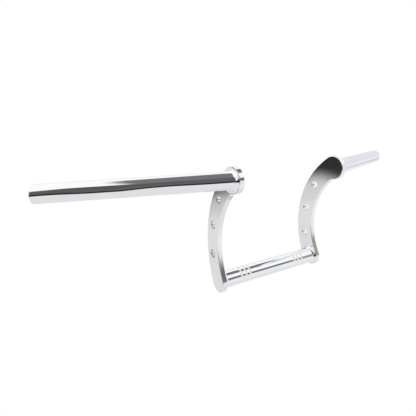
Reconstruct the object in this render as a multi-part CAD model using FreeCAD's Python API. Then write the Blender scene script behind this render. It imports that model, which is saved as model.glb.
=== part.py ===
import FreeCAD, Part
import math
import os
from FreeCAD import Vector

# Z-bar handlebar, a weldment of three steel tubes and two curved flat plates.
# Millimetres. Origin at the middle of the clamp tube, X to the rider's right, Y forward, Z up.

# Tubes
TUBE_DIA = 25.4
TUBE_WALL = 3.0
CLAMP_LENGTH = 184.0
GRIP_LENGTH = 254.0
GRIP_SWEEP = 22.0
GRIP_DROOP = 2.5
GRIP_END_CHAMFER = 1.2
BAR_END_SEAT_DIA = 20.0
BAR_END_SEAT_DEPTH = 40.0
BAR_END_CHAMFER = 0.6

# Turned grooves of the clamp tube, one group near each plate
GROOVE_COUNT = 3
GROOVE_PITCH = 8.0
GROOVE_WIDTH = 3.8
GROOVE_DEPTH = 0.8
GROOVE_GROUP_X = 54.0

# Plates, drawn in the YZ plane
PLATE_THICK = 8.0
PLATE_OUTER_R = 150.0
PLATE_WIDTH = 32.0
PLATE_EDGE_BREAK = 0.8
LOWER_EYE_GROWTH = 1.0
UPPER_EYE_GROWTH = 3.0
UPPER_EYE_Y = 37.0
UPPER_EYE_Z = 167.0
EYE_BLEND_R = 14.0

# Drilled holes on the middle arc of each plate
HOLE_COUNT = 3
HOLE_DIA = 10.0
HOLE_CHAMFER = 1.0
HOLE_STEP = 20.3
HOLE_MIDDLE = 10.2

# Polished weld fillets between tubes and plates
GRIP_WELD_R = 8.0
CLAMP_WELD_R = 5.0
CLAMP_WELD_FACES = 3
WELD_TOE = 0.3
WELD_PROUD = 0.35
WELD_TAPER = 1.5

TUBE_R = TUBE_DIA / 2
BORE_R = TUBE_R - TUBE_WALL
CLAMP_HALF = CLAMP_LENGTH / 2
PLATE_OUTSIDE = CLAMP_HALF + PLATE_THICK
PLATE_INNER_R = PLATE_OUTER_R - PLATE_WIDTH
PLATE_MIDDLE_R = PLATE_OUTER_R - PLATE_WIDTH / 2
LOWER_EYE_R = PLATE_WIDTH / 2 + LOWER_EYE_GROWTH
UPPER_EYE_R = PLATE_WIDTH / 2 + UPPER_EYE_GROWTH
X_AXIS = Vector(1, 0, 0)
LOWER_EYE = Vector(0, 0, 0)
UPPER_EYE = Vector(0, UPPER_EYE_Y, UPPER_EYE_Z)


def crossing(first, first_r, second, second_r):
    """Crossing of two circles in the YZ plane, on the right hand going from first to second."""
    line = second - first
    span = line.Length
    along = (span ** 2 + first_r ** 2 - second_r ** 2) / (2 * span)
    aside = math.sqrt(first_r ** 2 - along ** 2)
    line.normalize()
    return first + line * along + line.cross(X_AXIS) * aside


def toward(start, target, distance):
    """Point at a distance from start on the way to target."""
    step = target - start
    step.normalize()
    return start + step * distance


def arc(centre, radius, start, end, through):
    """Circular edge from start to end that passes on the side of the point through."""
    return Part.Arc(start, toward(centre, through, radius), end).toShape()


# Centre of both plate arcs: the outer arc runs tangent into both eyes
PLATE_CENTRE = crossing(LOWER_EYE, PLATE_OUTER_R - LOWER_EYE_R, UPPER_EYE, PLATE_OUTER_R - UPPER_EYE_R)


def plate_outline():
    """Closed outline of a plate: two eyes joined by a curved bar, blended on the hollow side."""
    blend_ring = PLATE_INNER_R - EYE_BLEND_R
    upper_blend = crossing(UPPER_EYE, UPPER_EYE_R + EYE_BLEND_R, PLATE_CENTRE, blend_ring)
    lower_blend = crossing(PLATE_CENTRE, blend_ring, LOWER_EYE, LOWER_EYE_R + EYE_BLEND_R)
    outer_low = toward(PLATE_CENTRE, LOWER_EYE, PLATE_OUTER_R)
    outer_high = toward(PLATE_CENTRE, UPPER_EYE, PLATE_OUTER_R)
    eye_high = toward(UPPER_EYE, upper_blend, UPPER_EYE_R)
    inner_high = toward(PLATE_CENTRE, upper_blend, PLATE_INNER_R)
    inner_low = toward(PLATE_CENTRE, lower_blend, PLATE_INNER_R)
    eye_low = toward(LOWER_EYE, lower_blend, LOWER_EYE_R)
    waist = (LOWER_EYE + UPPER_EYE) * 0.5
    edges = [
        arc(PLATE_CENTRE, PLATE_OUTER_R, outer_low, outer_high, waist),
        arc(UPPER_EYE, UPPER_EYE_R, outer_high, eye_high, UPPER_EYE + Vector(0, 0.4, 0.9)),
        arc(upper_blend, EYE_BLEND_R, eye_high, inner_high, (eye_high + inner_high) * 0.5),
        arc(PLATE_CENTRE, PLATE_INNER_R, inner_high, inner_low, waist),
        arc(lower_blend, EYE_BLEND_R, inner_low, eye_low, (inner_low + eye_low) * 0.5),
        arc(LOWER_EYE, LOWER_EYE_R, eye_low, outer_low, LOWER_EYE - UPPER_EYE),
    ]
    return Part.Wire(edges)


def hole_centres():
    """Centres of the drilled holes, evenly stepped along the middle arc."""
    centres = []
    for index in range(HOLE_COUNT):
        angle = math.radians(HOLE_MIDDLE + (index - (HOLE_COUNT - 1) / 2) * HOLE_STEP)
        centres.append(PLATE_CENTRE + Vector(0, -math.cos(angle), math.sin(angle)) * PLATE_MIDDLE_R)
    return centres


def right_plate():
    """Curved plate standing on the right end of the clamp tube."""
    outline = plate_outline()
    outline.translate(X_AXIS * CLAMP_HALF)
    plate = Part.Face(outline).extrude(X_AXIS * PLATE_THICK)
    rims = []
    for face in plate.Faces:
        if abs(abs(face.normalAt(0, 0).x) - 1) < 1e-6:
            rims.extend(face.Edges)
    plate = plate.makeChamfer(PLATE_EDGE_BREAK, rims)
    hole_r = HOLE_DIA / 2
    for centre in hole_centres():
        base = centre + X_AXIS * CLAMP_HALF
        top = centre + X_AXIS * PLATE_OUTSIDE
        plate = plate.cut(Part.makeCylinder(hole_r, PLATE_THICK, base, X_AXIS))
        plate = plate.cut(Part.makeCone(hole_r + HOLE_CHAMFER, hole_r, HOLE_CHAMFER, base, X_AXIS))
        plate = plate.cut(Part.makeCone(hole_r + HOLE_CHAMFER, hole_r, HOLE_CHAMFER, top, -X_AXIS))
    return plate


def clamp_half_profile():
    """Outer profile of the clamp tube from the middle to the right plate, ending in the dressed weld."""
    edges = []
    here = Vector(0, 0, TUBE_R)
    first = GROOVE_GROUP_X - GROOVE_PITCH * (GROOVE_COUNT - 1) / 2
    for index in range(GROOVE_COUNT):
        middle = first + index * GROOVE_PITCH
        start = Vector(middle - GROOVE_WIDTH / 2, 0, TUBE_R)
        end = Vector(middle + GROOVE_WIDTH / 2, 0, TUBE_R)
        slope = Vector(GROOVE_DEPTH, 0, 0)
        sink = Vector(0, 0, GROOVE_DEPTH)
        corners = [here, start, start + slope - sink, end - slope - sink, end]
        for first_corner, second_corner in zip(corners, corners[1:]):
            edges.append(Part.makeLine(first_corner, second_corner))
        here = end
    run = CLAMP_WELD_R - WELD_TOE
    foot = Vector(CLAMP_HALF - run, 0, TUBE_R)
    edges.append(Part.makeLine(here, foot))
    here = foot
    for index in range(CLAMP_WELD_FACES):
        turn = math.asin(run / CLAMP_WELD_R) * (index + 1) / CLAMP_WELD_FACES
        rise = Vector(math.sin(turn), 0, 1 - math.cos(turn)) * CLAMP_WELD_R
        edges.append(Part.makeLine(here, foot + rise))
        here = foot + rise
    edges.append(Part.makeLine(here, Vector(CLAMP_HALF, 0, BORE_R)))
    return edges


def clamp_tube():
    """Hollow clamp tube with its turned grooves and a weld fillet at both ends."""
    edges = clamp_half_profile()
    inner = Part.makeLine(Vector(CLAMP_HALF, 0, BORE_R), Vector(0, 0, BORE_R))
    closing = Part.makeLine(Vector(0, 0, BORE_R), Vector(0, 0, TUBE_R))
    half = Part.Face(Part.Wire(edges + [inner, closing])).revolve(Vector(0, 0, 0), X_AXIS, 360)
    tube = half.fuse(half.mirror(Vector(0, 0, 0), X_AXIS))
    return tube.removeSplitter()


def grip_weld(root, axis):
    """Solid neck of a grip tube that flares into the plate, ground flush with the plate's outline."""
    tilt = math.acos(axis.x)
    neck_r = TUBE_R + WELD_PROUD
    foot = neck_r * math.tan(tilt) + GRIP_WELD_R * math.tan(math.pi / 4 + tilt / 2)
    sunk = TUBE_DIA
    neck = Part.makeCylinder(neck_r, sunk + foot, root - axis * sunk, axis)
    wide = 6 * TUBE_DIA
    block = Part.makeBox(wide, 2 * wide, 2 * wide, root - Vector(wide + WELD_TOE, wide, wide))
    joined = neck.fuse(block)
    welded = joined.makeFillet(GRIP_WELD_R, [crossing_edge(joined, root.x - WELD_TOE)])
    welded = welded.cut(Part.makeBox(2 * wide, 4 * wide, 4 * wide, root - Vector(2 * wide, 2 * wide, 2 * wide)))
    outline = plate_outline()
    outline.translate(X_AXIS * root.x)
    keep = Part.Face(outline).extrude(X_AXIS * GRIP_WELD_R)
    around = Part.makeBox(GRIP_WELD_R, 4 * wide, 4 * wide, root - Vector(0, 2 * wide, 2 * wide))
    taper = Part.makeCone(neck_r, TUBE_R, WELD_TAPER, root + axis * foot, axis)
    return welded.cut(around.cut(keep)).fuse(taper)


def right_grip_tube():
    """Swept back grip tube, welded on flush with the plate and bored true at its open end."""
    sweep = math.radians(GRIP_SWEEP)
    droop = math.radians(GRIP_DROOP)
    axis = Vector(math.cos(sweep) * math.cos(droop), -math.sin(sweep) * math.cos(droop), -math.sin(droop))
    root = UPPER_EYE + X_AXIS * PLATE_OUTSIDE
    mouth = root + axis * GRIP_LENGTH
    start = root + axis * TUBE_DIA / 2
    rod = Part.makeCylinder(TUBE_R, GRIP_LENGTH - TUBE_DIA / 2, start, axis)
    rod = rod.makeChamfer(GRIP_END_CHAMFER, [end_edge(rod, mouth)])
    tube = grip_weld(root, axis).fuse(rod)
    seat_r = BAR_END_SEAT_DIA / 2
    tube = tube.cut(Part.makeCylinder(BORE_R, GRIP_LENGTH + TUBE_DIA, root - axis * TUBE_DIA, axis))
    tube = tube.cut(Part.makeCylinder(seat_r, BAR_END_SEAT_DEPTH, mouth, -axis))
    return tube.cut(Part.makeCone(seat_r + BAR_END_CHAMFER, seat_r, BAR_END_CHAMFER, mouth, -axis))


def end_edge(solid, centre):
    """Circular edge of a solid whose centre lies at a point."""
    for edge in solid.Edges:
        if isinstance(edge.Curve, Part.Circle) and (edge.Curve.Center - centre).Length < 1e-4:
            return edge


def crossing_edge(solid, x):
    """Curved edge in the plane at x where a tube leaves it."""
    for edge in solid.Edges:
        box = edge.BoundBox
        flat = box.XLength < 1e-3 and abs(box.XMin - x) < 1e-2
        if flat and not isinstance(edge.Curve, Part.Line):
            return edge


def mirrored(shape):
    """Left hand copy of a right hand piece."""
    return shape.mirror(Vector(0, 0, 0), X_AXIS)


os.makedirs("parts", exist_ok=True)
plate = right_plate()
grip = right_grip_tube()
pieces = {
    "clamp_tube": clamp_tube(),
    "right_plate": plate,
    "left_plate": mirrored(plate),
    "right_grip_tube": grip,
    "left_grip_tube": mirrored(grip),
}
for name, shape in pieces.items():
    shape.exportStep("parts/" + name + ".step")
    print(name, shape.isValid(), len(shape.Solids), round(shape.Volume), "mm3")
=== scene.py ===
import math

import bmesh
import bpy
from mathutils import Matrix, Vector


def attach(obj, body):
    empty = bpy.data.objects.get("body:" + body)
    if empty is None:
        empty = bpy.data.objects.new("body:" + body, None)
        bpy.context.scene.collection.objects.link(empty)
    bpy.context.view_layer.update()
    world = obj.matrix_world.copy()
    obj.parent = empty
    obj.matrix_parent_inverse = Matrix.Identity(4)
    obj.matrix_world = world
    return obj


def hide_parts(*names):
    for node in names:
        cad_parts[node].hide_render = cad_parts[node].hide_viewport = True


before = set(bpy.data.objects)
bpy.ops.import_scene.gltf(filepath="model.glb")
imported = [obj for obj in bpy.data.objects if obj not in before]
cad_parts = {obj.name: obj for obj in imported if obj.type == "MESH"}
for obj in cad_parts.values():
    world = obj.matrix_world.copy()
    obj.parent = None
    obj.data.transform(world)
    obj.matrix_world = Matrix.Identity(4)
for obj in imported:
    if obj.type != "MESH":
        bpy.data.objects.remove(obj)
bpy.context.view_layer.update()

# Sizes in metres and hole angles in degrees, the same as the solids' own
TUBE_R = 0.0127
BORE_R = 0.0097
SEAT_R = 0.010
SEAT_DEPTH = 0.040
SEAT_CHAMFER = 0.0006
CLAMP_HALF = 0.092
PLATE_T = 0.008
PLATE_OUT = CLAMP_HALF + PLATE_T
GRIP_LEN = 0.254
SWEEP = math.radians(22.0)
DROOP = math.radians(2.5)
LOW_EYE = (0.0, 0.0)
LOW_R = 0.017
TOP_EYE = (0.037, 0.167)
TOP_R = 0.019
OUTER_R = 0.150
INNER_R = 0.118
MIDDLE_R = (OUTER_R + INNER_R) / 2
TOP_BLEND_R = 0.014
EDGE_R = 0.0008
HOLE_STEP = 20.3
HOLE_MIDDLE = 10.2
GROOVE_X = (0.046, 0.054, 0.062)
GROOVE_W = 0.0038
GROOVE_DEPTH = 0.0008
CLAMP_WELD_R = 0.005
GRIP_WELD_R = 0.008
WELD_TOE = 0.0003

# Sizes that differ from the solids' own, or that only the scene has
LOW_BLEND_R = 0.110
HOLE_R = 0.0052
HOLE_ROUND = 0.0015
END_ROUND = 0.0012
WELD_LIP = 0.0017
GROOVE_WALL_W = 0.0003
GROOVE_WALL_H = 0.00055

# Fineness of the meshes
CLAMP_SIDES = 160
GRIP_SIDES = 480
GROOVE_STEPS = 12
CLAMP_WELD_STEPS = 16
GRIP_WELD_STEPS = 40
GRIP_STEPS = 12
END_STEPS = 8
EDGE_STEPS = 5
SEARCH_STEPS = 40
LONG_ARC_STEP = 0.0016
SHORT_ARC_STEP = 0.0009
HOLE_ARC_STEP = 0.0005

FULL_TURN = 2 * math.pi
NEARLY_FULL_TURN = FULL_TURN - 1e-9
DIAGONAL = 0.7071

# Material slots; 0 is a piece's main finish
GROOVE_SLOT = 1
BORE_SLOT = 1
HOLE_SLOT, HOLLOW_SLOT, RIM_PAINTED_SHADE_SLOT = 1, 2, 3


class Shape:
    """Vertices, exact normals, faces and material slots of one smooth piece."""

    def __init__(self):
        self.co = []
        self.no = []
        self.faces = []
        self.mats = []

    def ring(self, points, normals):
        """Adds a closed ring of vertices and returns their numbers."""
        start = len(self.co)
        self.co.extend(points)
        self.no.extend(normals)
        return list(range(start, len(self.co)))

    def band(self, a, b, mat=0):
        """Faces between two rings; mat is one slot or a slot for each face."""
        count = len(a)
        for i in range(count):
            j = (i + 1) % count
            self.faces.append((a[i], a[j], b[j], b[i]))
        self.mats.extend(mat if isinstance(mat, list) else [mat] * count)

    def build(self, name, materials):
        """Makes the object, with every face turned the way its normals point."""
        for index, face in enumerate(self.faces):
            corners = (face[0], face[1], face[-1])
            a, b, c = (self.co[v] for v in corners)
            outward = self.no[corners[0]] + self.no[corners[1]] + self.no[corners[2]]
            if (b - a).cross(c - a).dot(outward) < 0:
                self.faces[index] = tuple(reversed(face))
        mesh = bpy.data.meshes.new(name)
        mesh.from_pydata([tuple(c) for c in self.co], [], self.faces)
        for material in materials:
            mesh.materials.append(material)
        mesh.polygons.foreach_set("material_index", self.mats)
        mesh.polygons.foreach_set("use_smooth", [True] * len(self.faces))
        mesh.normals_split_custom_set_from_vertices([tuple(n) for n in self.no])
        mesh.update()
        piece = bpy.data.objects.new(name, mesh)
        bpy.context.scene.collection.objects.link(piece)
        return piece


def turned(shape, rows, origin, axis, side, up, count, mat=0):
    """Turns rows of (along, radius, n_along, n_radius) about an axis; None starts a new strip."""
    last = None
    for row in rows:
        if row is None:
            last = None
            continue
        s, r, na, nr = row
        points, normals = [], []
        for i in range(count):
            t = FULL_TURN * i / count
            out = side * math.cos(t) + up * math.sin(t)
            points.append(origin + axis * s + out * r)
            normals.append((axis * na + out * nr).normalized())
        ring = shape.ring(points, normals)
        if last:
            shape.band(last, ring, mat)
        last = ring


def side_name(side):
    return "right" if side > 0 else "left"


def groove_rows(x):
    """Profile of one groove: two steep lips and a gently hollow bottom."""
    half = GROOVE_W / 2
    slope = math.hypot(GROOVE_WALL_W, GROOVE_WALL_H)
    lip = (GROOVE_WALL_H / slope, GROOVE_WALL_W / slope)
    far_lip = (-lip[0], lip[1])
    bottom = half - GROOVE_WALL_W
    foot_r = TUBE_R - GROOVE_WALL_H
    sag = GROOVE_DEPTH - GROOVE_WALL_H
    hollow_r = (bottom * bottom + sag * sag) / (2 * sag)
    edge = math.asin(bottom / hollow_r)
    rows = [(x - half, TUBE_R, *lip), (x - bottom, foot_r, *lip), None]
    for i in range(GROOVE_STEPS + 1):
        t = -edge + 2 * edge * i / GROOVE_STEPS
        radius = TUBE_R - GROOVE_DEPTH + hollow_r * (1 - math.cos(t))
        rows.append((x + hollow_r * math.sin(t), radius, -math.sin(t), math.cos(t)))
    rows += [None, (x + bottom, foot_r, *far_lip), (x + half, TUBE_R, *far_lip)]
    return rows


def clamp_strips():
    """Outer profile of the clamp tube from its middle to the right plate: plain strips and grooves."""
    plain, grooves = [(0.0, TUBE_R, 0, 1)], []
    for x in GROOVE_X:
        grooves.append(groove_rows(x))
        plain += [(x - GROOVE_W / 2, TUBE_R, 0, 1), None, (x + GROOVE_W / 2, TUBE_R, 0, 1)]
    drop = CLAMP_WELD_R - WELD_TOE
    foot = CLAMP_HALF - drop
    turn = math.asin(drop / CLAMP_WELD_R)
    for i in range(CLAMP_WELD_STEPS + 1):
        t = turn * i / CLAMP_WELD_STEPS
        radius = TUBE_R + CLAMP_WELD_R * (1 - math.cos(t))
        plain.append((foot + CLAMP_WELD_R * math.sin(t), radius, -math.sin(t), math.cos(t)))
    return plain, grooves


def sided(rows, side):
    """A profile of the right half, on the right for 1 and mirrored to the left for -1."""
    return [row and (side * row[0], row[1], side * row[2], row[3]) for row in rows]


def make_clamp_tube(material, groove_highlight_material):
    """Clamp tube with its grooves and the weld flare at both ends."""
    shape = Shape()
    plain, grooves = clamp_strips()
    toe_r = plain[-1][1]
    end_face = [(CLAMP_HALF, toe_r, 1, 0), (CLAMP_HALF, BORE_R, 1, 0)]
    bore = [(-CLAMP_HALF, BORE_R, 0, -1), (CLAMP_HALF, BORE_R, 0, -1)]
    about = (Vector(), Vector((1, 0, 0)), Vector((0, 1, 0)), Vector((0, 0, 1)), CLAMP_SIDES)
    for side in (-1, 1):
        turned(shape, sided(plain, side), *about)
        for groove in grooves:
            turned(shape, sided(groove, side), *about, GROOVE_SLOT)
        turned(shape, sided(end_face, side), *about)
    turned(shape, bore, *about)
    return shape.build("clamp_tube_chrome", [material, groove_highlight_material])


def bearing(a, b):
    """Angle of the way from a to b."""
    return math.atan2(b[1] - a[1], b[0] - a[0])


def crossing(a, ra, b, rb):
    """Crossing of two circles on the right of the way from a to b."""
    dy, dz = b[0] - a[0], b[1] - a[1]
    span = math.hypot(dy, dz)
    along = (span ** 2 + ra ** 2 - rb ** 2) / (2 * span)
    aside = math.sqrt(ra ** 2 - along ** 2)
    uy, uz = dy / span, dz / span
    return (a[0] + uy * along + uz * aside, a[1] + uz * along - uy * aside)


def arc_points(centre, radius, start, end, turn, step, outward):
    """Points and outward normals on an arc from one angle to another, turning +1 or -1."""
    sweep = (end - start) * turn % FULL_TURN
    count = max(3, int(math.ceil(radius * sweep / step)))
    points = []
    for i in range(count):
        t = start + turn * sweep * i / count
        c, s = math.cos(t), math.sin(t)
        points.append(((centre[0] + radius * c, centre[1] + radius * s), (outward * c, outward * s)))
    return points


def outline():
    """Outline of a plate as points with outward normals.

    The arcs are the solid's, apart from the wider one from the hollow edge to the lower eye.
    Also returns the plate's centre, the upper blend's centre and which points are the hollow edge.
    """
    centre = crossing(LOW_EYE, OUTER_R - LOW_R, TOP_EYE, OUTER_R - TOP_R)
    top_blend = crossing(TOP_EYE, TOP_R + TOP_BLEND_R, centre, INNER_R - TOP_BLEND_R)
    low_blend = crossing(centre, INNER_R - LOW_BLEND_R, LOW_EYE, LOW_R + LOW_BLEND_R)
    low_at, top_at = bearing(centre, LOW_EYE), bearing(centre, TOP_EYE)
    hollow_from, hollow_to = bearing(centre, top_blend), bearing(centre, low_blend)

    points = arc_points(centre, OUTER_R, low_at, top_at, -1, LONG_ARC_STEP, 1)
    points += arc_points(TOP_EYE, TOP_R, top_at, bearing(TOP_EYE, top_blend), -1, SHORT_ARC_STEP, 1)
    hollow_start = len(points)
    points += arc_points(top_blend, TOP_BLEND_R, bearing(top_blend, TOP_EYE), hollow_from,
                         1, SHORT_ARC_STEP, -1)
    points += arc_points(centre, INNER_R, hollow_from, hollow_to, 1, LONG_ARC_STEP, -1)
    points += arc_points(low_blend, LOW_BLEND_R, hollow_to, bearing(low_blend, LOW_EYE),
                         1, SHORT_ARC_STEP, -1)
    hollow = range(hollow_start, len(points))
    points += arc_points(LOW_EYE, LOW_R, bearing(LOW_EYE, low_blend), low_at, -1, SHORT_ARC_STEP, 1)
    return points, centre, top_blend, hollow


def over_plate(y, z, centre, blend):
    """True where a point near the upper eye lies over the plate, clear of its edge."""
    if math.hypot(y - TOP_EYE[0], z - TOP_EYE[1]) < TOP_R - WELD_LIP:
        return True
    reach = math.hypot(y - centre[0], z - centre[1])
    turn = bearing(centre, (y, z)) % FULL_TURN
    first = bearing(centre, TOP_EYE) % FULL_TURN
    if INNER_R + WELD_LIP < reach < OUTER_R - WELD_LIP and turn > first:
        return True
    # The corner that the blend fills between the eye and the hollow edge
    off = (y - blend[0], z - blend[1])
    to_eye = (TOP_EYE[0] - blend[0], TOP_EYE[1] - blend[1])
    to_arc = (blend[0] - centre[0], blend[1] - centre[1])
    past_arc = to_arc[0] * off[1] - to_arc[1] * off[0] < 0
    before_eye = off[0] * to_eye[1] - off[1] * to_eye[0] < 0
    return past_arc and before_eye and math.hypot(*off) > TOP_BLEND_R + WELD_LIP


def make_grip(side, material, bore_material):
    """Grip tube from the plate to its open end, with the polished weld flare at its root."""
    shape = Shape()
    axis = Vector((side * math.cos(SWEEP) * math.cos(DROOP), -math.sin(SWEEP) * math.cos(DROOP),
                   -math.sin(DROOP)))
    root = Vector((side * PLATE_OUT, TOP_EYE[0], TOP_EYE[1]))
    plate_n = Vector((side, 0, 0))
    up = Vector((0, 0, 1))
    up = (up - axis * up.dot(axis)).normalized()
    across = axis.cross(up)
    outs = []
    for i in range(GRIP_SIDES):
        t = FULL_TURN * i / GRIP_SIDES
        outs.append(across * math.cos(t) + up * math.sin(t))

    # Arc of the weld at each angle, followed as far as it lies over the plate
    _, centre_yz, blend_yz, _ = outline()
    weld = [[] for _ in range(GRIP_WELD_STEPS + 1)]
    weld_n = [[] for _ in range(GRIP_WELD_STEPS + 1)]
    foot_s, root_s = [], []
    for out in outs:
        lean = out.dot(plate_n) / axis.dot(plate_n)
        corner = root + out * TUBE_R - axis * (TUBE_R * lean + WELD_TOE / axis.dot(plate_n))
        along = (out - axis * lean).normalized()
        angle = math.acos(along.dot(axis))
        tube_touch = corner + axis * (GRIP_WELD_R / math.tan(angle / 2))
        centre = tube_touch + out * GRIP_WELD_R

        def on_arc(a):
            return centre + (-out * math.cos(a) - axis * math.sin(a)) * GRIP_WELD_R

        low, high = 0.0, math.pi - angle
        for _ in range(SEARCH_STEPS):
            test = (low + high) / 2
            point = on_arc(test)
            clear = (point - root).dot(plate_n) > 0
            if clear and over_plate(point.y, point.z, centre_yz, blend_yz):
                low = test
            else:
                high = test
        for j in range(GRIP_WELD_STEPS + 1):
            a = low * j / GRIP_WELD_STEPS
            weld[j].append(on_arc(a))
            weld_n[j].append(out * math.cos(a) + axis * math.sin(a))
        foot_s.append((tube_touch - root).dot(axis))
        root_s.append(-BORE_R * lean)

    # Toe of the weld, the flare and the plain tube
    toe = [Vector((side * PLATE_OUT, p.y, p.z)) for p in weld[-1]]
    toe_n = [Vector((0, p.y - TOP_EYE[0], p.z - TOP_EYE[1])).normalized() for p in toe]
    shape.band(shape.ring(toe, toe_n), shape.ring(weld[-1], toe_n))
    last = None
    for points, normals in zip(reversed(weld), reversed(weld_n)):
        ring = shape.ring(points, normals)
        if last:
            shape.band(last, ring)
        last = ring
    tube_end = GRIP_LEN - END_ROUND
    for k in range(1, GRIP_STEPS + 1):
        f = k / GRIP_STEPS
        lengths = [s * (1 - f) + tube_end * f for s in foot_s]
        points = [root + axis * s + o * TUBE_R for s, o in zip(lengths, outs)]
        ring = shape.ring(points, outs)
        shape.band(last, ring)
        last = ring

    # Rounded open end and the chamfer of its seat
    about = (root, axis, across, up, GRIP_SIDES)
    mouth_r = SEAT_R + SEAT_CHAMFER
    seat_start = GRIP_LEN - SEAT_CHAMFER
    seat_end = GRIP_LEN - SEAT_DEPTH
    rows = []
    for k in range(END_STEPS + 1):
        a = math.pi / 2 * k / END_STEPS
        rows.append((tube_end + END_ROUND * math.sin(a), TUBE_R - END_ROUND * (1 - math.cos(a)),
                     math.sin(a), math.cos(a)))
    rows += [(GRIP_LEN, mouth_r, 1, 0), None,
             (GRIP_LEN, mouth_r, DIAGONAL, -DIAGONAL), (seat_start, SEAT_R, DIAGONAL, -DIAGONAL)]
    turned(shape, rows, *about)

    # Seat, the step behind it, the plain bore and the face against the plate
    rows = [(seat_start, SEAT_R, 0, -1), (seat_end, SEAT_R, 0, -1), None,
            (seat_end, SEAT_R, 1, 0), (seat_end, BORE_R, 1, 0)]
    turned(shape, rows, *about, BORE_SLOT)
    inward = [-o for o in outs]
    inner = [root + axis * s + o * BORE_R for s, o in zip(root_s, outs)]
    step = [root + axis * seat_end + o * BORE_R for o in outs]
    shape.band(shape.ring(step, inward), shape.ring(inner, inward), BORE_SLOT)
    back = [-plate_n] * GRIP_SIDES
    shape.band(shape.ring(inner, back), shape.ring(toe, back))
    return shape.build(side_name(side) + "_grip_chrome", [material, bore_material])


def add_wall(shape, pts, inset, slots):
    """Wall of a plate with rounded edges, along an outline or round a hole.

    slots has the slot of the wall, 0, and of the edges, -1 and 1. Returns the rings at both faces.
    """
    rings = []
    for end in (-1, 1):
        for k in range(EDGE_STEPS, -1, -1) if end < 0 else range(EDGE_STEPS + 1):
            a = math.pi / 2 * k / EDGE_STEPS
            setback = inset * (1 - math.cos(a))
            height = PLATE_T / 2 - inset * (1 - math.sin(a))
            ring_p, ring_n = [], []
            for (y, z), (ny, nz) in pts:
                ring_p.append(Vector((end * height, y - ny * setback, z - nz * setback)))
                ring_n.append(Vector((end * math.sin(a), ny * math.cos(a), nz * math.cos(a))))
            rings.append(shape.ring(ring_p, ring_n))
    for place, (a, b) in enumerate(zip(rings, rings[1:])):
        shape.band(a, b, slots[(place > EDGE_STEPS) - (place < EDGE_STEPS)])
    return {-1: rings[0], 1: rings[-1]}


def fill_face(shape, rings, end):
    """Flat face of a plate on one side, -1 or 1, between its outline and its holes."""
    bm = bmesh.new()
    made = {}
    edges = []
    for ring in rings:
        verts = []
        for index in ring:
            vert = bm.verts.new(shape.co[index])
            made[vert] = index
            verts.append(vert)
        edges += [bm.edges.new(pair) for pair in zip(verts, verts[1:] + verts[:1])]
    bmesh.ops.triangle_fill(bm, use_beauty=True, use_dissolve=False, edges=edges,
                            normal=Vector((end, 0, 0)))
    for face in bm.faces:
        corners = [made[v] for v in face.verts]
        if face.normal.x * end < 0:
            corners.reverse()
        shape.faces.append(tuple(corners))
        shape.mats.append(0)
    bm.free()


def make_plate(side, material, hole_painted_reflection_material, hollow_material, rim_painted_shade_material):
    """Curved plate with three holes, whose rims on the plate's outer face carry painted shade, a darker
    colour.
    """
    shape = Shape()
    points, centre, _, hollow = outline()
    around = [HOLLOW_SLOT if i in hollow else 0 for i in range(len(points))]
    walls = [add_wall(shape, points, EDGE_R, {-1: around, 0: around, 1: around})]
    for k in (-1, 0, 1):
        t = math.radians(HOLE_MIDDLE + k * HOLE_STEP)
        hole = (centre[0] - MIDDLE_R * math.cos(t), centre[1] + MIDDLE_R * math.sin(t))
        pts = arc_points(hole, HOLE_R, 0.0, NEARLY_FULL_TURN, 1, HOLE_ARC_STEP, -1)
        # The rim on the outer face gets the painted shade
        slots = {-side: HOLE_SLOT, 0: HOLE_SLOT, side: RIM_PAINTED_SHADE_SLOT}
        walls.append(add_wall(shape, pts, HOLE_ROUND, slots))
    for end in (-1, 1):
        fill_face(shape, [wall[end] for wall in walls], end)
    middle = side * (CLAMP_HALF + PLATE_T / 2)
    for c in shape.co:
        c.x += middle
    materials = [material, hole_painted_reflection_material, hollow_material, rim_painted_shade_material]
    return shape.build(side_name(side) + "_plate_chrome", materials)


# Plating: scale and detail of its noises, and strength and depth in metres of its bumps
BLOTCH = (38.0, 4.0)
BLOTCH_RANGE = (0.3, 0.62)
GLOSS = (210.0, 6.0)
GLOSS_RANGE = (0.3, 0.75)
GLOSS_SPREAD = (0.75, 1.35)
WAVE = (24.0, 2.0)
WAVE_BUMP = (1.0, 0.00006)
HAIR = (1.0, 3.0)
HAIR_STRETCH = (40.0, 900.0, 900.0)
HAIR_BUMP = (0.25, 0.0000015)


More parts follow.
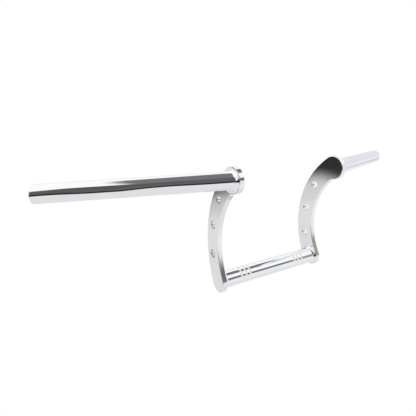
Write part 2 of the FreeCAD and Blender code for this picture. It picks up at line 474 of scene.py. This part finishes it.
def chrome(name, tint, rough, blotch_and_painted_light, metal=1.0):
    """Bright plating with faint polish waves, hairline scratches and uneven gloss."""
    material = bpy.data.materials.new(name)
    material.use_nodes = True
    tree = material.node_tree
    tree.nodes.clear()

    def noise(place, scale, detail):
        node = tree.nodes.new("ShaderNodeTexNoise")
        node.inputs["Scale"].default_value = scale
        node.inputs["Detail"].default_value = detail
        tree.links.new(place, node.inputs["Vector"])
        return node.outputs["Fac"]

    def bump(height, strength, depth):
        node = tree.nodes.new("ShaderNodeBump")
        node.inputs["Strength"].default_value = strength
        node.inputs["Distance"].default_value = depth
        tree.links.new(height, node.inputs["Height"])
        return node

    out = tree.nodes.new("ShaderNodeOutputMaterial")
    shader = tree.nodes.new("ShaderNodeBsdfPrincipled")
    shader.inputs["Metallic"].default_value = metal
    tree.links.new(shader.outputs["BSDF"], out.inputs["Surface"])
    place = tree.nodes.new("ShaderNodeTexCoord").outputs["Object"]

    # Blotch noise blends a second colour into the tint. On the tubes, plates and bore this is uneven
    # plating tone; on the hole walls it is painted reflection, and on the hole rims painted shade.
    colour = tree.nodes.new("ShaderNodeValToRGB")
    for stop, position, shade in zip(colour.color_ramp.elements, BLOTCH_RANGE, (blotch_and_painted_light, tint)):
        stop.position = position
        stop.color = (*shade, 1)
    tree.links.new(noise(place, *BLOTCH), colour.inputs["Fac"])
    tree.links.new(colour.outputs["Color"], shader.inputs["Base Color"])

    spread = tree.nodes.new("ShaderNodeMapRange")
    spread.inputs["From Min"].default_value = GLOSS_RANGE[0]
    spread.inputs["From Max"].default_value = GLOSS_RANGE[1]
    spread.inputs["To Min"].default_value = rough * GLOSS_SPREAD[0]
    spread.inputs["To Max"].default_value = rough * GLOSS_SPREAD[1]
    tree.links.new(noise(place, *GLOSS), spread.inputs["Value"])
    tree.links.new(spread.outputs["Result"], shader.inputs["Roughness"])

    swell = bump(noise(place, *WAVE), *WAVE_BUMP)
    stretch = tree.nodes.new("ShaderNodeMapping")
    stretch.inputs["Scale"].default_value = HAIR_STRETCH
    tree.links.new(place, stretch.inputs["Vector"])
    scratch = bump(noise(stretch.outputs["Vector"], *HAIR), *HAIR_BUMP)
    tree.links.new(swell.outputs["Normal"], scratch.inputs["Normal"])
    tree.links.new(scratch.outputs["Normal"], shader.inputs["Normal"])
    return material


tube_chrome = chrome("tube_chrome", (0.91, 0.92, 0.94), 0.03, (0.88, 0.89, 0.91))
plate_chrome = chrome("plate_chrome", (0.88, 0.885, 0.89), 0.05, (0.85, 0.855, 0.86))
# Hole walls: painted reflection, a warm brownish colour brighter than the plates that stands in for the
# room reflected in the holes
hole_chrome_painted_reflection = chrome("hole_chrome_painted_reflection", (0.95, 0.935, 0.92), 0.035, (0.89, 0.86, 0.82))
# Hole rims on the plate's outer face: painted shade, a dark colour in place of the dark reflections round
# the holes
hole_rim_painted_shade = chrome("hole_rim_painted_shade", (0.60, 0.58, 0.56), 0.08, (0.50, 0.47, 0.44))
hollow_chrome = chrome("hollow_chrome", (0.90, 0.905, 0.91), 0.08, (0.87, 0.875, 0.88))
bore_steel = chrome("bore_steel", (0.52, 0.52, 0.53), 0.5, (0.42, 0.41, 0.40), 0.35)
# Grooves: a satin, partly diffuse finish whose near-white colour is a painted highlight, lighter than the
# tube
groove_satin_painted_highlight = chrome("groove_satin_painted_highlight", (0.97, 0.97, 0.98), 0.34, (0.95, 0.95, 0.96), 0.35)

pieces = {
    "clamp_tube": make_clamp_tube(tube_chrome, groove_satin_painted_highlight),
    "right_plate": make_plate(1, plate_chrome, hole_chrome_painted_reflection, hollow_chrome, hole_rim_painted_shade),
    "left_plate": make_plate(-1, plate_chrome, hole_chrome_painted_reflection, hollow_chrome, hole_rim_painted_shade),
    "right_grip_tube": make_grip(1, tube_chrome, bore_steel),
    "left_grip_tube": make_grip(-1, tube_chrome, bore_steel),
}
for node, piece in pieces.items():
    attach(piece, "root")
    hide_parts(node)

# Camera, from the fit to the photograph
PHOTO_SIZE = 416
FOCAL_PIXELS = 313.634
CENTRE_ROW = 171.289
SENSOR = 36.0
CLIP_START = 0.01
CAMERA_PLACE = (0.3194, 0.3824, 0.2619)
CAMERA_YAW = math.radians(-62.037)
CAMERA_PITCH = math.radians(11.38)
CAMERA_ROLL = math.radians(-0.11)


def camera_axes(yaw, pitch, roll):
    """Right, up and forward directions of the camera."""
    ahead = Vector((-math.cos(yaw), math.sin(yaw), 0))
    right = Vector((math.sin(yaw), math.cos(yaw), 0))
    top = Vector((0, 0, 1))
    forward = ahead * math.cos(pitch) - top * math.sin(pitch)
    up = ahead * math.sin(pitch) + top * math.cos(pitch)
    rolled_right = right * math.cos(roll) + up * math.sin(roll)
    rolled_up = up * math.cos(roll) - right * math.sin(roll)
    return rolled_right, rolled_up, forward


right, up, forward = camera_axes(CAMERA_YAW, CAMERA_PITCH, CAMERA_ROLL)
camera_data = bpy.data.cameras.new("camera")
camera_data.sensor_width = SENSOR
camera_data.lens = FOCAL_PIXELS / PHOTO_SIZE * SENSOR
camera_data.shift_y = (CENTRE_ROW - PHOTO_SIZE / 2) / PHOTO_SIZE
camera_data.clip_start = CLIP_START
camera = bpy.data.objects.new("camera", camera_data)
bpy.context.scene.collection.objects.link(camera)
turn = Matrix((right, up, -forward)).transposed().to_4x4()
camera.matrix_world = Matrix.Translation(Vector(CAMERA_PLACE)) @ turn
bpy.context.scene.camera = camera

# Sockets of the Mix node for colours and for numbers
MIX_FACTOR = 0
COLOUR_A, COLOUR_B, COLOUR_OUT = 6, 7, 2
NUMBER_A, NUMBER_B, NUMBER_OUT = 2, 3, 0

# Floor: a round sheet of paper. In the metal it glows, with painted light that grows brighter towards the
# far left corner
FLOOR_Z = -0.25
FLOOR_REACH = 0.85
FLOOR_STEPS = 90
PAPER_DIFFUSE = (0.80, 0.80, 0.80)
PAPER = (0.81, 0.815, 0.825)
PAPER_PAINTED_LIGHT_LEFT = (0.92, 0.93, 0.95)
LEFT_CORNER = (-DIAGONAL, DIAGONAL, 0)
LEFT_CORNER_RANGE = (0.15, 0.60)
WHITE = (1, 1, 1)


def floor_paper(name):
    """Pale paper: white to the camera, a soft glowing tone in the metal's reflections with painted light
    towards the far left corner, plain diffuse otherwise.
    """
    material = bpy.data.materials.new(name)
    material.use_nodes = True
    tree = material.node_tree
    tree.nodes.clear()

    def either(first, second):
        node = tree.nodes.new("ShaderNodeMath")
        node.operation = "MAXIMUM"
        tree.links.new(first, node.inputs[0])
        tree.links.new(second, node.inputs[1])
        return node.outputs[0]

    coords = tree.nodes.new("ShaderNodeTexCoord")
    towards_left = tree.nodes.new("ShaderNodeVectorMath")
    towards_left.operation = "DOT_PRODUCT"
    towards_left.inputs[1].default_value = LEFT_CORNER
    tree.links.new(coords.outputs["Object"], towards_left.inputs[0])
    painted_light_amount = tree.nodes.new("ShaderNodeMapRange")
    painted_light_amount.interpolation_type = "SMOOTHSTEP"
    painted_light_amount.inputs["From Min"].default_value = LEFT_CORNER_RANGE[0]
    painted_light_amount.inputs["From Max"].default_value = LEFT_CORNER_RANGE[1]
    tree.links.new(towards_left.outputs["Value"], painted_light_amount.inputs["Value"])
    in_metal = tree.nodes.new("ShaderNodeMix")
    in_metal.data_type = "RGBA"
    in_metal.inputs[COLOUR_A].default_value = (*PAPER, 1)
    in_metal.inputs[COLOUR_B].default_value = (*PAPER_PAINTED_LIGHT_LEFT, 1)
    tree.links.new(painted_light_amount.outputs["Result"], in_metal.inputs[MIX_FACTOR])

    path = tree.nodes.new("ShaderNodeLightPath")
    tone = tree.nodes.new("ShaderNodeMix")
    tone.data_type = "RGBA"
    tone.inputs[COLOUR_B].default_value = (*WHITE, 1)
    tree.links.new(in_metal.outputs[COLOUR_OUT], tone.inputs[COLOUR_A])
    tree.links.new(path.outputs["Is Camera Ray"], tone.inputs[MIX_FACTOR])
    glow = tree.nodes.new("ShaderNodeEmission")
    tree.links.new(tone.outputs[COLOUR_OUT], glow.inputs["Color"])
    diffuse = tree.nodes.new("ShaderNodeBsdfDiffuse")
    diffuse.inputs["Color"].default_value = (*PAPER_DIFFUSE, 1)
    mirrored = either(path.outputs["Is Glossy Ray"], path.outputs["Is Transmission Ray"])
    shown = either(path.outputs["Is Camera Ray"], mirrored)
    mix = tree.nodes.new("ShaderNodeMixShader")
    tree.links.new(shown, mix.inputs["Fac"])
    tree.links.new(diffuse.outputs["BSDF"], mix.inputs[1])
    tree.links.new(glow.outputs["Emission"], mix.inputs[2])
    out = tree.nodes.new("ShaderNodeOutputMaterial")
    tree.links.new(mix.outputs["Shader"], out.inputs["Surface"])
    return material


rim = []
for i in range(FLOOR_STEPS):
    t = FULL_TURN * i / FLOOR_STEPS
    rim.append((FLOOR_REACH * math.cos(t), FLOOR_REACH * math.sin(t), FLOOR_Z))
floor_mesh = bpy.data.meshes.new("floor")
floor_mesh.from_pydata([(0, 0, FLOOR_Z)] + rim, [],
                       [(0, i + 1, (i + 1) % FLOOR_STEPS + 1) for i in range(FLOOR_STEPS)])
floor = bpy.data.objects.new("floor", floor_mesh)
bpy.context.scene.collection.objects.link(floor)
floor_mesh.materials.append(floor_paper("floor_paper"))

# Studio that the metal shows. Azimuth runs from +X towards +Y and height up from level, in degrees.
# A pair of places is where a soft step starts and ends; a third number is the blur of both edges.
DEGREES = 57.2958
PLAIN_LIGHT = 0.95
WALL_RISE = (8, 34)
WALL_LEVELS = (0.82, 1.06)
LEFT_SIDE = (95, 120)
PAPER_LEVELS = (0.82, 0.90)
HORIZON = (-4, 4)
# The ceiling's places are in heights of the ceiling
LOWEST_CEILING = 0.05
CEILING_LEFT = (-0.82, -0.75)
CEILING_BACK = (-0.52, -0.30)
CEILING_RIGHT = 0.27
CEILING_SLANT = 0.38
CEILING_RIGHT_BLUR = (0.05, -0.05)
CEILING_FRONTS = (0.33, 0.35)
CEILING_FRONT_TURN = (-0.66, -0.56)
CEILING_OPEN = (-0.52, -0.44)
CEILING_OPEN_FRONT = 20.0
CEILING_FRONT_BLUR = (0.12, -0.12)
CEILING_FOOT = (20, 30)
CEILING_LEVEL = 0.19
WINDOW_SPAN = (110, 139, 2)
WINDOW_START = (117, 118.5)
WINDOW_STEP = (117, 119)
WINDOW_SLOPE = (123, 128)
WINDOW_END = (128, 132)
WINDOW_FADE = (127, 134)
WINDOW_TOPS = (40, 27, 23.5)
WINDOW_FEET = (-12, -1, -8)
WINDOW_FULL = (16, 10, 5)
WINDOW_TOP_BLUR = (3, -3)
WINDOW_LEVELS = (0.16, 0.36)
FAR_LINE_TURN = (140, 155)
FAR_LINE_SPAN = (-15, -10, 1.5)
FAR_LINE_LEVEL = 0.66
# Azimuth and height of the paper's edge
SKYLINE = [(-75, -18.5), (-60, -15.8), (-42, -11.7), (-37, -13), (6, -16), (40, -12), (47, -9.5),
           (52, -21), (58, -23), (63, -8), (67, -5), (73, -11), (95, -11)]
SKYLINE_DEPTH = 30
EDGE_TAIL = (-6, 0.5)
EDGE_TAIL_TURN = (-53, -48)
EDGE_TAIL_LEVELS = (0.36, 0.2)
EDGE_SOFT = (-1.3, 1.9)
EDGE_WIDE = (-2.6, 2.2)
EDGE_TURN = (-39, -35)
DARK_SPAN = (-72, 91, 3)
STRIP_TOP = (6, 1)
STRIP_LEVEL = 0.03
ROOM_SPAN = (34, 91, 2.5)
ROOM_TOP = (53, 48)
ROOM_RISE = (9, 22)
ROOM_LEVELS = (0.018, 0.118)
ROOM_GRAIN = (2.6, 2.0)
ROOM_GRAIN_BASE = 0.5
FAR_LEFT = (138, 150)
COOL = (0.975, 0.985, 1.03)
WARM = (1.05, 0.98, 0.93)
MIRROR_BOUNCES = 12

world = bpy.data.worlds.new("studio")
bpy.context.scene.world = world
world.use_nodes = True
tree = world.node_tree
tree.nodes.clear()


def plug(socket, value):
    """Sets a socket to a number or links it to another socket."""
    if isinstance(value, (int, float)):
        socket.default_value = value
    else:
        tree.links.new(value, socket)


def calc(operation, first, second=0.0):
    """One step of arithmetic on numbers or sockets."""
    node = tree.nodes.new("ShaderNodeMath")
    node.operation = operation
    plug(node.inputs[0], first)
    plug(node.inputs[1], second)
    return node.outputs[0]


def soft_step(value, start, end):
    """0 up to start, 1 from end on, smooth between; start may be the higher one."""
    node = tree.nodes.new("ShaderNodeMapRange")
    node.interpolation_type = "SMOOTHSTEP"
    plug(node.inputs["Value"], value)
    plug(node.inputs["From Min"], start)
    plug(node.inputs["From Max"], end)
    return node.outputs["Result"]


def inside(value, low, high, blur):
    """1 between low and high, with soft edges."""
    rise = soft_step(value, low - blur, low + blur)
    fall = soft_step(value, high - blur, high + blur)
    return calc("SUBTRACT", rise, fall)


def mixed(amount, first, second):
    """first where amount is 0, second where it is 1."""
    node = tree.nodes.new("ShaderNodeMix")
    node.data_type = "FLOAT"
    plug(node.inputs[MIX_FACTOR], amount)
    plug(node.inputs[NUMBER_A], first)
    plug(node.inputs[NUMBER_B], second)
    return node.outputs[NUMBER_OUT]


def tinted(amount, first, second):
    """A colour, as a tuple or a socket, mixed towards a second one."""
    node = tree.nodes.new("ShaderNodeMix")
    node.data_type = "RGBA"
    plug(node.inputs[MIX_FACTOR], amount)
    if isinstance(first, tuple):
        node.inputs[COLOUR_A].default_value = (*first, 1)
    else:
        tree.links.new(first, node.inputs[COLOUR_A])
    node.inputs[COLOUR_B].default_value = (*second, 1)
    return node.outputs[COLOUR_OUT]


direction = tree.nodes.new("ShaderNodeTexCoord").outputs["Generated"]
split = tree.nodes.new("ShaderNodeSeparateXYZ")
tree.links.new(direction, split.inputs[0])
to_x, to_y, to_z = split.outputs
azimuth = calc("MULTIPLY", calc("ARCTAN2", to_y, to_x), DEGREES)
height = calc("MULTIPLY", calc("ARCSINE", to_z), DEGREES)
aside = calc("ABSOLUTE", azimuth)

# Paper below, white walls above that grow brighter higher up
wall = mixed(soft_step(height, *WALL_RISE), *WALL_LEVELS)
paper_tone = mixed(soft_step(aside, *LEFT_SIDE), *PAPER_LEVELS)
level = mixed(soft_step(height, *HORIZON), paper_tone, wall)

# Dull flat ceiling with straight edges
up_part = calc("MAXIMUM", to_z, LOWEST_CEILING)
ceiling_x = calc("DIVIDE", to_x, up_part)
ceiling_y = calc("DIVIDE", to_y, up_part)
right_edge = calc("ADD", CEILING_RIGHT, calc("MULTIPLY", ceiling_y, CEILING_SLANT))
front_edge = mixed(soft_step(ceiling_x, *CEILING_FRONT_TURN), *CEILING_FRONTS)
front_edge = mixed(soft_step(ceiling_x, *CEILING_OPEN), front_edge, CEILING_OPEN_FRONT)
past_right = calc("SUBTRACT", ceiling_x, right_edge)
past_front = calc("SUBTRACT", ceiling_y, front_edge)
ceiling = calc("MULTIPLY", soft_step(ceiling_x, *CEILING_LEFT), soft_step(ceiling_y, *CEILING_BACK))
ceiling = calc("MULTIPLY", ceiling, soft_step(past_right, *CEILING_RIGHT_BLUR))
ceiling = calc("MULTIPLY", ceiling, soft_step(past_front, *CEILING_FRONT_BLUR))
level = mixed(calc("MULTIPLY", ceiling, soft_step(height, *CEILING_FOOT)), level, CEILING_LEVEL)

# Dim window wall on the left, lower and fainter further round
window_top = mixed(soft_step(azimuth, *WINDOW_STEP), WINDOW_TOPS[0], WINDOW_TOPS[1])
window_top = mixed(soft_step(azimuth, *WINDOW_SLOPE), window_top, WINDOW_TOPS[2])
window_start = soft_step(azimuth, *WINDOW_START)
window_end = soft_step(azimuth, *WINDOW_END)
window_foot = mixed(window_end, mixed(window_start, WINDOW_FEET[0], WINDOW_FEET[1]), WINDOW_FEET[2])
window_full = mixed(window_end, mixed(window_start, WINDOW_FULL[0], WINDOW_FULL[1]), WINDOW_FULL[2])
window = calc("MULTIPLY", inside(azimuth, *WINDOW_SPAN), soft_step(height, window_foot, window_full))
past_top = calc("SUBTRACT", height, window_top)
window = calc("MULTIPLY", window, soft_step(past_top, *WINDOW_TOP_BLUR))
window_far = soft_step(azimuth, *WINDOW_FADE)
level = mixed(window, level, mixed(window_far, *WINDOW_LEVELS))

# Faint line where the paper meets the back wall
far_line = calc("MULTIPLY", soft_step(aside, *FAR_LINE_TURN), inside(height, *FAR_LINE_SPAN))
level = mixed(far_line, level, FAR_LINE_LEVEL)

# Edge of the paper, seen against the dark room; the curve gives its height all round
skyline_curve = tree.nodes.new("ShaderNodeFloatCurve")
points = skyline_curve.mapping.curves[0].points
while len(points) < len(SKYLINE):
    points.new(0.5, 0.5)
for point, (turn_at, edge) in zip(points, SKYLINE):
    point.location = ((turn_at + 180) / 360, (edge + SKYLINE_DEPTH) / SKYLINE_DEPTH)
    point.handle_type = "VECTOR"
skyline_curve.mapping.update()
plug(skyline_curve.inputs["Value"], calc("DIVIDE", calc("ADD", azimuth, 180), 360))
skyline = calc("MULTIPLY", skyline_curve.outputs["Value"], SKYLINE_DEPTH)
skyline = calc("SUBTRACT", skyline, SKYLINE_DEPTH)
above = calc("SUBTRACT", height, skyline)
# The edge has a soft tail to the right, where the plates show it
tail_level = mixed(soft_step(azimuth, *EDGE_TAIL_TURN), *EDGE_TAIL_LEVELS)
edge_tail = calc("MULTIPLY", soft_step(above, *EDGE_TAIL), tail_level)
soft_edge = mixed(soft_step(above, *EDGE_SOFT), edge_tail, 1.0)
paper_edge = mixed(soft_step(azimuth, *EDGE_TURN), soft_edge, soft_step(above, *EDGE_WIDE))
beyond_paper = calc("MULTIPLY", inside(azimuth, *DARK_SPAN), paper_edge)
low_strip = calc("MULTIPLY", beyond_paper, soft_step(height, *STRIP_TOP))
level = mixed(low_strip, level, STRIP_LEVEL)

# Dark room behind the camera
grain = tree.nodes.new("ShaderNodeTexNoise")
grain.inputs["Scale"].default_value = ROOM_GRAIN[0]
grain.inputs["Detail"].default_value = ROOM_GRAIN[1]
tree.links.new(direction, grain.inputs["Vector"])
room = mixed(soft_step(above, *ROOM_RISE), *ROOM_LEVELS)
room = calc("MULTIPLY", room, calc("ADD", ROOM_GRAIN_BASE, grain.outputs["Fac"]))
room_mask = calc("MULTIPLY", inside(azimuth, *ROOM_SPAN), soft_step(height, *ROOM_TOP))
level = mixed(calc("MULTIPLY", room_mask, beyond_paper), level, room)

# White to the camera, the studio in the metal, plain light otherwise
path = tree.nodes.new("ShaderNodeLightPath")
in_metal = calc("MAXIMUM", path.outputs["Is Glossy Ray"], path.outputs["Is Transmission Ray"])
seen = mixed(in_metal, PLAIN_LIGHT, level)
seen = mixed(path.outputs["Is Camera Ray"], seen, 1.0)
# Cool light from the far left, warmer from the window wall's far end
far_left = calc("MULTIPLY", in_metal, soft_step(aside, *FAR_LEFT))
warm_end = calc("MULTIPLY", in_metal, calc("MULTIPLY", window, window_far))
back = tree.nodes.new("ShaderNodeBackground")
tree.links.new(tinted(warm_end, tinted(far_left, WHITE, COOL), WARM), back.inputs["Color"])
tree.links.new(seen, back.inputs["Strength"])
out = tree.nodes.new("ShaderNodeOutputWorld")
tree.links.new(back.outputs["Background"], out.inputs["Surface"])

# Deep corners of the polished welds need more mirror bounces than usual
bpy.context.scene.cycles.glossy_bounces = MIRROR_BOUNCES
bpy.context.scene.view_settings.view_transform = "Standard"
